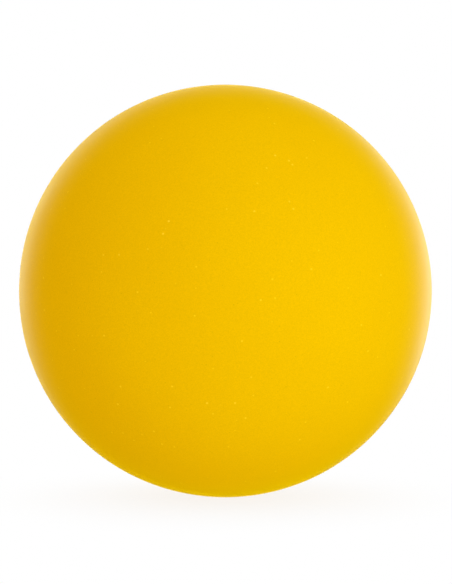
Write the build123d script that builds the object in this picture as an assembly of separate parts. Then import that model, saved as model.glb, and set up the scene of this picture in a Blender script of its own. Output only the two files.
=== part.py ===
from build123d import *

import os

# A soft dodgeball: a ball of resilient foam inside a seamless sprayed skin.
# The layers are built from the inside out, as the ball is made. The foam ball is moulded first, a
# first coat then soaks into its outer cells and grips them, and the coloured skin goes over that coat.
# Lengths are in millimetres. The origin is the centre of the ball, and +Z is up.

# Driving dimensions
BALL_DIAMETER = 178.0  # over the finished skin, the 7 inch size of the foam game
SKIN_THICKNESS = 0.8  # coloured polyurethane, built up in several sprayed passes
BOND_COAT_DEPTH = 0.4  # how far the first coat fills the foam's outer cells

# Radii at which one layer ends and the next begins
skin_outside = BALL_DIAMETER / 2
skin_inside = skin_outside - SKIN_THICKNESS
core_outside = skin_inside - BOND_COAT_DEPTH


def layer(outside, inside):
    """A closed spherical layer with no seam, between two radii about the ball's centre."""
    return Sphere(outside) - Sphere(inside)


def foam_core():
    """The moulded ball of open-celled foam, solid right through to its centre."""
    return Sphere(core_outside)


def bond_coat():
    """The first coat: it meets the foam face to face and carries the skin."""
    return layer(skin_inside, core_outside)


def colour_skin():
    """The coloured skin over the bond coat. Its outside is the surface that is held and thrown."""
    return layer(skin_outside, skin_inside)


pieces = {
    "foam_core": foam_core(),
    "bond_coat": bond_coat(),
    "colour_skin": colour_skin(),
}

os.makedirs("parts", exist_ok=True)
for name, piece in pieces.items():
    export_step(piece, f"parts/{name}.step")
    print(f"{name}: {piece.volume / 1000:.1f} cm3")
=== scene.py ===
import bpy
import numpy as np
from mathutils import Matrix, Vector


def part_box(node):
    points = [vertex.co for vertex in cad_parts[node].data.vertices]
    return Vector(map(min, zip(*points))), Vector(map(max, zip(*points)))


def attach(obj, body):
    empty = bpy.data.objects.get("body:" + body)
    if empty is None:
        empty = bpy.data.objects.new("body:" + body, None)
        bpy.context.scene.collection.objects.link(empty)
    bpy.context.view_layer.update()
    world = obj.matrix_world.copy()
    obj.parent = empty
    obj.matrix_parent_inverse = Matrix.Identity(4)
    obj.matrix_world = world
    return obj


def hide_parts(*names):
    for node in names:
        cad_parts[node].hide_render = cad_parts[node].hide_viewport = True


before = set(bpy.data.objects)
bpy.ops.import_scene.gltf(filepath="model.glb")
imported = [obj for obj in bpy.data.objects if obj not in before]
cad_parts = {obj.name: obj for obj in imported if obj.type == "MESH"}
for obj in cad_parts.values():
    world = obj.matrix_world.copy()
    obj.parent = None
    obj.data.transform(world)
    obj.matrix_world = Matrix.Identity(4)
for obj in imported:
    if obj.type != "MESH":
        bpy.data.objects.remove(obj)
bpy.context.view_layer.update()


# Foam core: the ball of resilient, open-celled polyurethane foam that gives the dodgeball its
# body and its spring. It is poured into a closed mould and cures there in one piece. Bubbles that
# burst against the mould leave shallow pits in its face, which the first coat later grips.
core_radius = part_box("foam_core")[1].z
CORE_CELLS = 72  # faces along the edge of each of a ball's six patches
LATTICE_CORNERS = 32  # along each side of a noise's table, after which it repeats
LUMP_SIZE = 0.055  # in metres, like every length that doesn't say otherwise
LUMP_HEIGHT = 0.00016
LUMP_SEED = 3
RIPPLE_SIZE = 0.018
RIPPLE_HEIGHT = 0.00004
RIPPLE_SEED = 4
PIT_COUNT = 700
PIT_RADII = (0.0026, 0.0046)
PIT_DEPTH = 0.00022
PIT_SHAKE = 0.02  # as a share of the core's radius
PIT_SEED = 11
FOAM_CREAM = (0.80, 0.71, 0.48)  # in linear light, like every colour
FOAM_CELL_SHADE = (0.60, 0.49, 0.27)
FOAM_CELLS_PER_METRE = 900
FOAM_CELL_LAYERS = 3
FOAM_CELL_RANGE = (0.35, 0.6)
FOAM_CELL_DEPTH = 0.0005
FOAM_ROUGHNESS = 0.92
FOAM_GLOSS = 0.2


def ball_grid(cells):
    """Directions and four-sided faces over a whole ball, evenly spread and with no poles.

    Two parameters run over each of six square patches. The tangent of 45 degrees times each parameter,
    beside a third coordinate of one, is a point on a cube's side, and dividing that by its length puts it
    on the ball. Patches share their edge points, because points are matched by whole-number places.
    """
    steps = np.arange(cells + 1)
    first, second = np.meshgrid(steps, steps, indexing="ij")
    low = np.zeros_like(first)
    high = np.full_like(first, cells)
    patches = np.stack([
        np.stack([high, first, second], axis=-1),
        np.stack([low, second, first], axis=-1),
        np.stack([second, high, first], axis=-1),
        np.stack([first, low, second], axis=-1),
        np.stack([first, second, high], axis=-1),
        np.stack([second, first, low], axis=-1),
    ])
    places, numbers = np.unique(patches.reshape(-1, 3), axis=0, return_inverse=True)
    numbers = numbers.reshape(patches.shape[:3])
    corners = [numbers[:, :-1, :-1], numbers[:, 1:, :-1], numbers[:, 1:, 1:], numbers[:, :-1, 1:]]
    faces = np.stack(corners, axis=-1).reshape(-1, 4)
    on_cube = np.tan(np.pi / 4 * (2 * places / cells - 1))
    directions = on_cube / np.linalg.norm(on_cube, axis=1, keepdims=True)
    return directions, faces


def soft_noise(points, size, seed):
    """Smooth random height between about -1 and 1 at each point, with lumps about size across.

    A table of random heights stands on the corners of a lattice of that size. Each point blends the
    eight corners round it. The way across a lattice cell is eased, to six times its fifth power less
    fifteen times its fourth plus ten times its cube, so it starts and ends level and leaves no crease.
    """
    table = np.random.default_rng(seed).uniform(-1, 1, (LATTICE_CORNERS,) * 3)
    scaled = points / size
    corner = np.floor(scaled).astype(int)
    across = scaled - corner
    eased = across**3 * (across * (across * 6 - 15) + 10)
    height = np.zeros(len(points))
    for offset in np.ndindex(2, 2, 2):
        weight = np.where(np.array(offset) == 1, eased, 1 - eased).prod(axis=1)
        x, y, z = ((corner + offset) % LATTICE_CORNERS).T
        height += weight * table[x, y, z]
    return height


def foam_unevenness(directions):
    """How far the cured foam stands off a true ball, in metres: broad lumps plus a slight ripple."""
    points = directions * core_radius
    lumps = LUMP_HEIGHT * soft_noise(points, LUMP_SIZE, LUMP_SEED)
    ripple = RIPPLE_HEIGHT * soft_noise(points, RIPPLE_SIZE, RIPPLE_SEED)
    return lumps + ripple


def foam_face(directions):
    """Points of the core's face: the true radius, plus the unevenness, less the burst bubbles' pits.

    The pits' centres are spread by the golden angle and shaken at random, and their radii are random
    too. A pit is a bowl: one, less the square of the distance from its centre over its radius.
    """
    random = np.random.default_rng(PIT_SEED)
    place = np.arange(PIT_COUNT) + 0.5
    turn = np.pi * (1 + np.sqrt(5)) * place
    height = 1 - 2 * place / PIT_COUNT
    level = np.sqrt(1 - height**2)
    centres = np.stack([level * np.cos(turn), level * np.sin(turn), height], axis=1)
    centres += random.normal(0, PIT_SHAKE, centres.shape)
    centres /= np.linalg.norm(centres, axis=1, keepdims=True)
    radii = random.uniform(*PIT_RADII, PIT_COUNT)
    distance_squared = 2 * core_radius**2 * (1 - directions @ centres.T)
    bowls = (1 - distance_squared / radii**2).max(axis=1)
    pits = PIT_DEPTH * np.clip(bowls, 0, 1)
    radius = core_radius + foam_unevenness(directions) - pits
    return directions * radius[:, None]


def smooth_piece(name, walls):
    """A smooth mesh object from one or more walls, each of points and of faces that point outwards."""
    starts = np.cumsum([0] + [len(points) for points, faces in walls])
    all_points = np.concatenate([points for points, faces in walls])
    all_faces = np.concatenate([wall[1] + start for wall, start in zip(walls, starts)])
    mesh = bpy.data.meshes.new(name)
    mesh.from_pydata(all_points.tolist(), [], all_faces.tolist(), shade_flat=False)
    mesh.update()
    piece = bpy.data.objects.new(name, mesh)
    bpy.context.scene.collection.objects.link(piece)
    return piece


def fresh_material(piece, name):
    """A new node material on the piece: its node tree and its main shader."""
    material = bpy.data.materials.new(name)
    material.use_nodes = True
    piece.data.materials.append(material)
    return material.node_tree, material.node_tree.nodes["Principled BSDF"]


def on_piece(tree, kind, per_metre):
    """A texture of the given kind on the piece's own coordinates, with so many lumps per metre."""
    place = tree.nodes.new("ShaderNodeTexCoord")
    texture = tree.nodes.new(kind)
    texture.inputs["Scale"].default_value = per_metre
    tree.links.new(place.outputs["Object"], texture.inputs["Vector"])
    return texture


def noise(tree, per_metre, layers):
    """Cloudy noise between 0 and 1, with so many lumps per metre and so many finer layers in it."""
    texture = on_piece(tree, "ShaderNodeTexNoise", per_metre)
    texture.inputs["Detail"].default_value = layers
    return texture.outputs["Fac"]


def spread(tree, value, source, target=(0.0, 1.0)):
    """The value carried from the source range onto the target range, with soft ends."""
    ramp = tree.nodes.new("ShaderNodeMapRange")
    ramp.interpolation_type = "SMOOTHSTEP"
    ramp.inputs["From Min"].default_value = source[0]
    ramp.inputs["From Max"].default_value = source[1]
    ramp.inputs["To Min"].default_value = target[0]
    ramp.inputs["To Max"].default_value = target[1]
    tree.links.new(value, ramp.inputs["Value"])
    return ramp.outputs["Result"]


def two_tones(tree, share, first, second):
    """A colour that runs from the first tone to the second as share goes from 0 to 1."""
    mix = tree.nodes.new("ShaderNodeMix")
    mix.data_type = "RGBA"
    tree.links.new(share, mix.inputs[0])
    # In this node the colour sockets are the inputs 6 and 7 and the output 2.
    for socket, tone in ((mix.inputs[6], first), (mix.inputs[7], second)):
        if isinstance(tone, tuple):
            socket.default_value = (*tone, 1)
        else:
            tree.links.new(tone, socket)
    return mix.outputs[2]


def raised(tree, shader, height, depth):
    """Fine relief in the shading: the height's full range stands for depth, in metres."""
    bump = tree.nodes.new("ShaderNodeBump")
    bump.inputs["Strength"].default_value = 1.0
    bump.inputs["Distance"].default_value = depth
    tree.links.new(height, bump.inputs["Height"])
    tree.links.new(bump.outputs["Normal"], shader.inputs["Normal"])


coarse_directions, coarse_faces = ball_grid(CORE_CELLS)
core_points = foam_face(coarse_directions)
foam_core = smooth_piece("foam_core_moulded", [(core_points, coarse_faces)])
tree, shader = fresh_material(foam_core, "moulded_foam")
cells = noise(tree, FOAM_CELLS_PER_METRE, FOAM_CELL_LAYERS)
tone = two_tones(tree, spread(tree, cells, FOAM_CELL_RANGE), FOAM_CELL_SHADE, FOAM_CREAM)
tree.links.new(tone, shader.inputs["Base Color"])
shader.inputs["Roughness"].default_value = FOAM_ROUGHNESS
shader.inputs["Specular IOR Level"].default_value = FOAM_GLOSS
raised(tree, shader, cells, FOAM_CELL_DEPTH)
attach(foam_core, "root")
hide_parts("foam_core")


# Bond coat: the first coat of polyurethane, brushed into the foam's open face and left to cure there.
# It is a thin, milky layer. Its inner side fills every pit of the foam, so that it can't be peeled
# off, and its outer side is the even ground that the coloured skin is sprayed on.
coat_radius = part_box("bond_coat")[1].z
COAT_MILKY = (0.84, 0.70, 0.34)
COAT_THIN = (0.76, 0.60, 0.26)
COAT_CLOUDS_PER_METRE = 120
COAT_CLOUD_LAYERS = 4
COAT_CLOUD_RANGE = (0.3, 0.7)
COAT_ROUGHNESS = (0.5, 0.62)
COAT_GLOSS = 0.4
BRUSHED_PER_METRE = 500
BRUSHED_LAYERS = 2
BRUSHED_DEPTH = 0.0001

coat_points = coarse_directions * (coat_radius + foam_unevenness(coarse_directions))[:, None]
bond_coat = smooth_piece(
    "bond_coat_cured",
    [(coat_points, coarse_faces), (core_points, coarse_faces[:, ::-1])],
)
tree, shader = fresh_material(bond_coat, "bond_coat_milky")
cloud = noise(tree, COAT_CLOUDS_PER_METRE, COAT_CLOUD_LAYERS)
tone = two_tones(tree, spread(tree, cloud, COAT_CLOUD_RANGE), COAT_THIN, COAT_MILKY)
tree.links.new(tone, shader.inputs["Base Color"])
tree.links.new(spread(tree, cloud, COAT_CLOUD_RANGE, COAT_ROUGHNESS), shader.inputs["Roughness"])
shader.inputs["Specular IOR Level"].default_value = COAT_GLOSS
raised(tree, shader, noise(tree, BRUSHED_PER_METRE, BRUSHED_LAYERS), BRUSHED_DEPTH)
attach(bond_coat, "root")
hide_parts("bond_coat")


# Coloured skin: a seamless yellow skin of polyurethane elastomer, tough and satin, with a soft sheen.
# It is sprayed on in several passes that flow together, so it has no seam, and it cures with a faint
# orange peel, a fine grain and a few pinholes. Its colour holds the grain's tone, partly painted shade of
# its relief, painted shade inside the pinholes, and a few pale specks.
skin_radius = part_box("colour_skin")[1].z
SKIN_CELLS = 104
PEEL_SIZE = 0.0055
PEEL_HEIGHT = 0.000013
PEEL_SEED = 5
SKIN_YELLOW = (0.929, 0.561, 0.0005)
SKIN_THIN_PASS = (0.917, 0.543, 0.0004)
PASSES_PER_METRE = 28
PASS_LAYERS = 3
PASS_RANGE = (0.3, 0.7)
# the grain's darker tone: partly the skin's own, partly painted shade of its fine relief
GRAIN_TONE_AND_RELIEF_SHADE = (0.803, 0.478, 0.0004)
GRAIN_PER_METRE = 2100
GRAIN_LAYERS = 2
GRAIN_RANGE = (0.1, 0.9)
SATIN_ROUGHNESS = (0.36, 0.3)  # of a thin pass and of a full one
SHEEN_WARM = (1.0, 0.74, 0.0)
SHEEN_WEIGHT = 0.7
SHEEN_ROUGHNESS = 0.35
# small pale specks, scattered at random over the skin
SPECK_PALE = (1.0, 0.68, 0.03)
SPECKS_PER_METRE = 220
SPECK_CHANCE = (0.15, 0.85)
SPECK_SIZES = (0.3, 1.4)  # of the smallest and the largest, against a middling one
SPECK_EDGE = (0.03, 0.1)  # where a middling one starts to fade and is gone, in steps of the scatter
# painted shade: the darkness inside the pinholes, put into the skin's colour
PINHOLE_PAINTED_SHADE = (0.7, 0.415, 0.0003)
PINHOLES_PER_METRE = 246
PINHOLE_EDGE = (0.03, 0.065)  # in steps of the scatter too
RELIEF_PER_METRE = 1200
RELIEF_LAYERS = 1
RELIEF_DEPTH = 0.00004


def joined(tree, first, second, operation="MULTIPLY"):
    """Two values made into one: their product, or what another named operation makes of them."""
    node = tree.nodes.new("ShaderNodeMath")
    node.operation = operation
    tree.links.new(first, node.inputs[0])
    tree.links.new(second, node.inputs[1])
    return node.outputs[0]


def sprayed_face(directions):
    """Points of the skin's outside: the true radius, plus the foam's unevenness and a fine orange peel."""
    points = directions * skin_radius
    peel = PEEL_HEIGHT * soft_noise(points, PEEL_SIZE, PEEL_SEED)
    return directions * (skin_radius + foam_unevenness(directions) + peel)[:, None]


def pale_specks(tree):
    """How much of a pale speck lies at each point, from 0 to 1.

    Points are scattered at random. The distance to the nearest one, divided by a random size of its
    own, gives a round speck, full in the middle and gone a little way out.
    """
    scatter = on_piece(tree, "ShaderNodeTexVoronoi", SPECKS_PER_METRE)
    size = spread(tree, scatter.outputs["Color"], SPECK_CHANCE, SPECK_SIZES)
    from_middle = joined(tree, scatter.outputs["Distance"], size, "DIVIDE")
    return spread(tree, from_middle, SPECK_EDGE, (1.0, 0.0))


def pinholes(tree):
    """How much of a pinhole lies at each point, from 0 to 1.

    Points are scattered at random. The distance to the nearest one gives a round speck of painted shade,
    the shade inside a pinhole, full in the middle and gone a little way out.
    """
    scatter = on_piece(tree, "ShaderNodeTexVoronoi", PINHOLES_PER_METRE)
    return spread(tree, scatter.outputs["Distance"], PINHOLE_EDGE, (1.0, 0.0))


fine_directions, fine_faces = ball_grid(SKIN_CELLS)
skin_points = sprayed_face(fine_directions)
colour_skin = smooth_piece(
    "colour_skin_sprayed",
    [(skin_points, fine_faces), (coat_points, coarse_faces[:, ::-1])],
)
tree, shader = fresh_material(colour_skin, "satin_yellow_skin")
passes = noise(tree, PASSES_PER_METRE, PASS_LAYERS)
grain = noise(tree, GRAIN_PER_METRE, GRAIN_LAYERS)
tone = two_tones(tree, spread(tree, passes, PASS_RANGE), SKIN_THIN_PASS, SKIN_YELLOW)
# grain tone, partly the skin's own and partly painted shade of the fine relief
tone = two_tones(tree, spread(tree, grain, GRAIN_RANGE), GRAIN_TONE_AND_RELIEF_SHADE, tone)
# painted shade inside the pinholes
tone = two_tones(tree, pinholes(tree), tone, PINHOLE_PAINTED_SHADE)
tone = two_tones(tree, pale_specks(tree), tone, SPECK_PALE)
tree.links.new(tone, shader.inputs["Base Color"])
tree.links.new(spread(tree, passes, PASS_RANGE, SATIN_ROUGHNESS), shader.inputs["Roughness"])
shader.inputs["Sheen Weight"].default_value = SHEEN_WEIGHT
shader.inputs["Sheen Roughness"].default_value = SHEEN_ROUGHNESS
shader.inputs["Sheen Tint"].default_value = (*SHEEN_WARM, 1)
raised(tree, shader, noise(tree, RELIEF_PER_METRE, RELIEF_LAYERS), RELIEF_DEPTH)
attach(colour_skin, "root")
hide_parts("colour_skin")


# Floor: the plain white table that the ball rests on, at the height of the ball's lowest point.
# The camera sees it as the same white as the sweep behind, less a soft shadow round the contact, which is
# partly the real shadow and partly painted shadow, as the white thins towards the contact.
# From below it is clear, and it casts no light or shade on the ball.
floor_height = skin_points[:, 2].min()
FLOOR_HALF = 6.0
FLOOR_PALE = (0.8, 0.8, 0.8)
FLOOR_ROUGHNESS = 0.9
FLOOR_GLOSS = 0.0
SHADOW_REACH = (0.0, 0.12)
# less white near the contact is painted shadow round it
WHITE_SHARE_WITH_PAINTED_SHADOW = (0.84, 1.0)  # how much of the sweep's white covers the floor, from the contact outwards


def vector_result(tree, operation, vector, fixed=(0, 0, 0)):
    """What the named operation makes of a vector, and of a fixed one where it takes two."""
    node = tree.nodes.new("ShaderNodeVectorMath")
    node.operation = operation
    node.inputs[1].default_value = fixed
    tree.links.new(vector, node.inputs[0])
    return node.outputs


def blended(tree, share, first, second):
    """A shader that runs from the first to the second as share goes from 0 to 1."""
    mix = tree.nodes.new("ShaderNodeMixShader")
    for socket, value in zip(mix.inputs, (share, first, second)):
        tree.links.new(value, socket)
    return mix.outputs[0]


def looked_at(tree, ray):
    """1 for a ray that comes straight from the camera or through something clear, and 0 for any other."""
    return joined(tree, ray["Is Camera Ray"], ray["Is Transmission Ray"], "MAXIMUM")


floor_corners = FLOOR_HALF * np.array([[-1, -1], [1, -1], [1, 1], [-1, 1]])
floor_points = np.column_stack([floor_corners, np.full(4, floor_height)])
floor = smooth_piece("floor", [(floor_points, np.arange(4)[None])])
tree, shader = fresh_material(floor, "white_table")
shader.inputs["Base Color"].default_value = (*FLOOR_PALE, 1)
shader.inputs["Roughness"].default_value = FLOOR_ROUGHNESS
shader.inputs["Specular IOR Level"].default_value = FLOOR_GLOSS
geometry = tree.nodes.new("ShaderNodeNewGeometry").outputs
flat = vector_result(tree, "MULTIPLY", geometry["Position"], (1, 1, 0))["Vector"]
from_contact = vector_result(tree, "LENGTH", flat)["Value"]
# painted shadow: the white thins towards the contact
painted_shadow_share = spread(tree, from_contact, SHADOW_REACH, WHITE_SHARE_WITH_PAINTED_SHADOW)
ray = tree.nodes.new("ShaderNodeLightPath").outputs
white_share = joined(tree, looked_at(tree, ray), painted_shadow_share)
white = tree.nodes.new("ShaderNodeEmission").outputs[0]
clear = tree.nodes.new("ShaderNodeBsdfTransparent").outputs[0]
from_above = blended(tree, white_share, shader.outputs[0], white)
one_sided = blended(tree, geometry["Backfacing"], from_above, clear)
tree.links.new(one_sided, tree.nodes["Material Output"].inputs["Surface"])
floor.active_material.cycles.emission_sampling = "NONE"
floor.visible_shadow = False
floor.visible_glossy = False
floor.visible_diffuse = False


# Light: a plain light tent. Two half-spheres of soft light fill from above and below, a large lamp at
# the front right is the key, and four stand behind to light the edges. None of them shows in the skin.
# What the skin mirrors at its rim is a white sweep behind it, brightest level with it and to the right.
FILL_LIGHT = (1.0, 0.86, 0.75)
FILL_POWER = 2.8
FILL_ANGLE = np.pi  # the whole half-sphere
FILLS = {
    "fill_above": (0, 0, 1),
    "fill_below": (0, 0, -1),
}
LAMP_LIGHT = (0.72, 1.0, 1.15)
LAMP_WIDTH = 0.9
LAMPS = {
    "key_right": ((0.862, -1.103, 0.0), 7.6),
    "back_right": ((1.147, 0.803, 0.0), 2.4),
    "back_left": ((-0.9, 1.07, -0.1), 4.4),
    "top_back": ((0.0, 0.592, 1.269), 3.9),
    "table_back": ((0.3, 0.85, -0.68), 1.9),
}
SWEEP_BEHIND = (0.59, 0.93)  # an edge is where the sweep fades, as a part of the ray's direction
SWEEP_FOOT = (-0.37, 0.03)
SWEEP_TOP = (0.0, 0.72)
SWEEP_SLANT = (0.2, 0.0, 1.0)  # the top edge comes down a little towards the right
SWEEP_ACROSS = (-0.5, 0.5)
SWEEP_ACROSS_SHARE = (1.0, 1.8)  # of white, on the left and on the right


def hang_lamp(light, spot, tint, power):
    """A lamp at the spot, turned to the ball's centre, that lights the ball but isn't seen in it."""
    light.color = tint
    light.energy = power
    light.cycles.use_multiple_importance_sampling = False
    lamp = bpy.data.objects.new(light.name, light)
    lamp.location = spot
    lamp.rotation_mode = "QUATERNION"
    lamp.rotation_quaternion = lamp.location.to_track_quat("Z", "Y")
    lamp.visible_camera = False
    lamp.visible_glossy = False
    bpy.context.scene.collection.objects.link(lamp)


for name, spot in FILLS.items():
    light = bpy.data.lights.new(name, "SUN")
    light.angle = FILL_ANGLE
    hang_lamp(light, spot, FILL_LIGHT, FILL_POWER)

for name, (spot, power) in LAMPS.items():
    light = bpy.data.lights.new(name, "AREA")
    light.shape = "DISK"
    light.size = LAMP_WIDTH
    hang_lamp(light, spot, LAMP_LIGHT, power)

world = bpy.data.worlds.new("white_sweep")
bpy.context.scene.world = world
world.use_nodes = True
world.cycles.sampling_method = "NONE"
tree = world.node_tree
heading = tree.nodes.new("ShaderNodeTexCoord").outputs["Generated"]
direction = tree.nodes.new("ShaderNodeSeparateXYZ")
tree.links.new(heading, direction.inputs[0])
slanted = vector_result(tree, "DOT_PRODUCT", heading, SWEEP_SLANT)["Value"]
behind = spread(tree, direction.outputs["Y"], SWEEP_BEHIND)
above_foot = spread(tree, direction.outputs["Z"], SWEEP_FOOT)
below_top = spread(tree, slanted, SWEEP_TOP, (1.0, 0.0))
across = spread(tree, direction.outputs["X"], SWEEP_ACROSS, SWEEP_ACROSS_SHARE)
sweep = joined(tree, joined(tree, behind, above_foot), joined(tree, below_top, across))
ray = tree.nodes.new("ShaderNodeLightPath").outputs
mirrored = joined(tree, ray["Is Glossy Ray"], sweep)
strength = joined(tree, looked_at(tree, ray), mirrored, "MAXIMUM")
background = tree.nodes["Background"]
background.inputs["Color"].default_value = (1, 1, 1, 1)
tree.links.new(strength, background.inputs["Strength"])


# Camera: level with the ball's centre and straight in front of it, with a long lens. It stands a hair
# off the middle, because the ball isn't quite in the middle of the picture.
CAMERA_LENS = 100.0  # in millimetres
CAMERA_SPOT = (0.0003, -0.7052, -0.0004)
CAMERA_TURN = (np.pi / 2, 0, 0)  # upright, looking along Y

camera_data = bpy.data.cameras.new("camera")
camera_data.lens = CAMERA_LENS
camera = bpy.data.objects.new("camera", camera_data)
camera.location = CAMERA_SPOT
camera.rotation_euler = CAMERA_TURN
bpy.context.scene.collection.objects.link(camera)
bpy.context.scene.camera = camera
bpy.context.scene.view_settings.view_transform = "Standard"
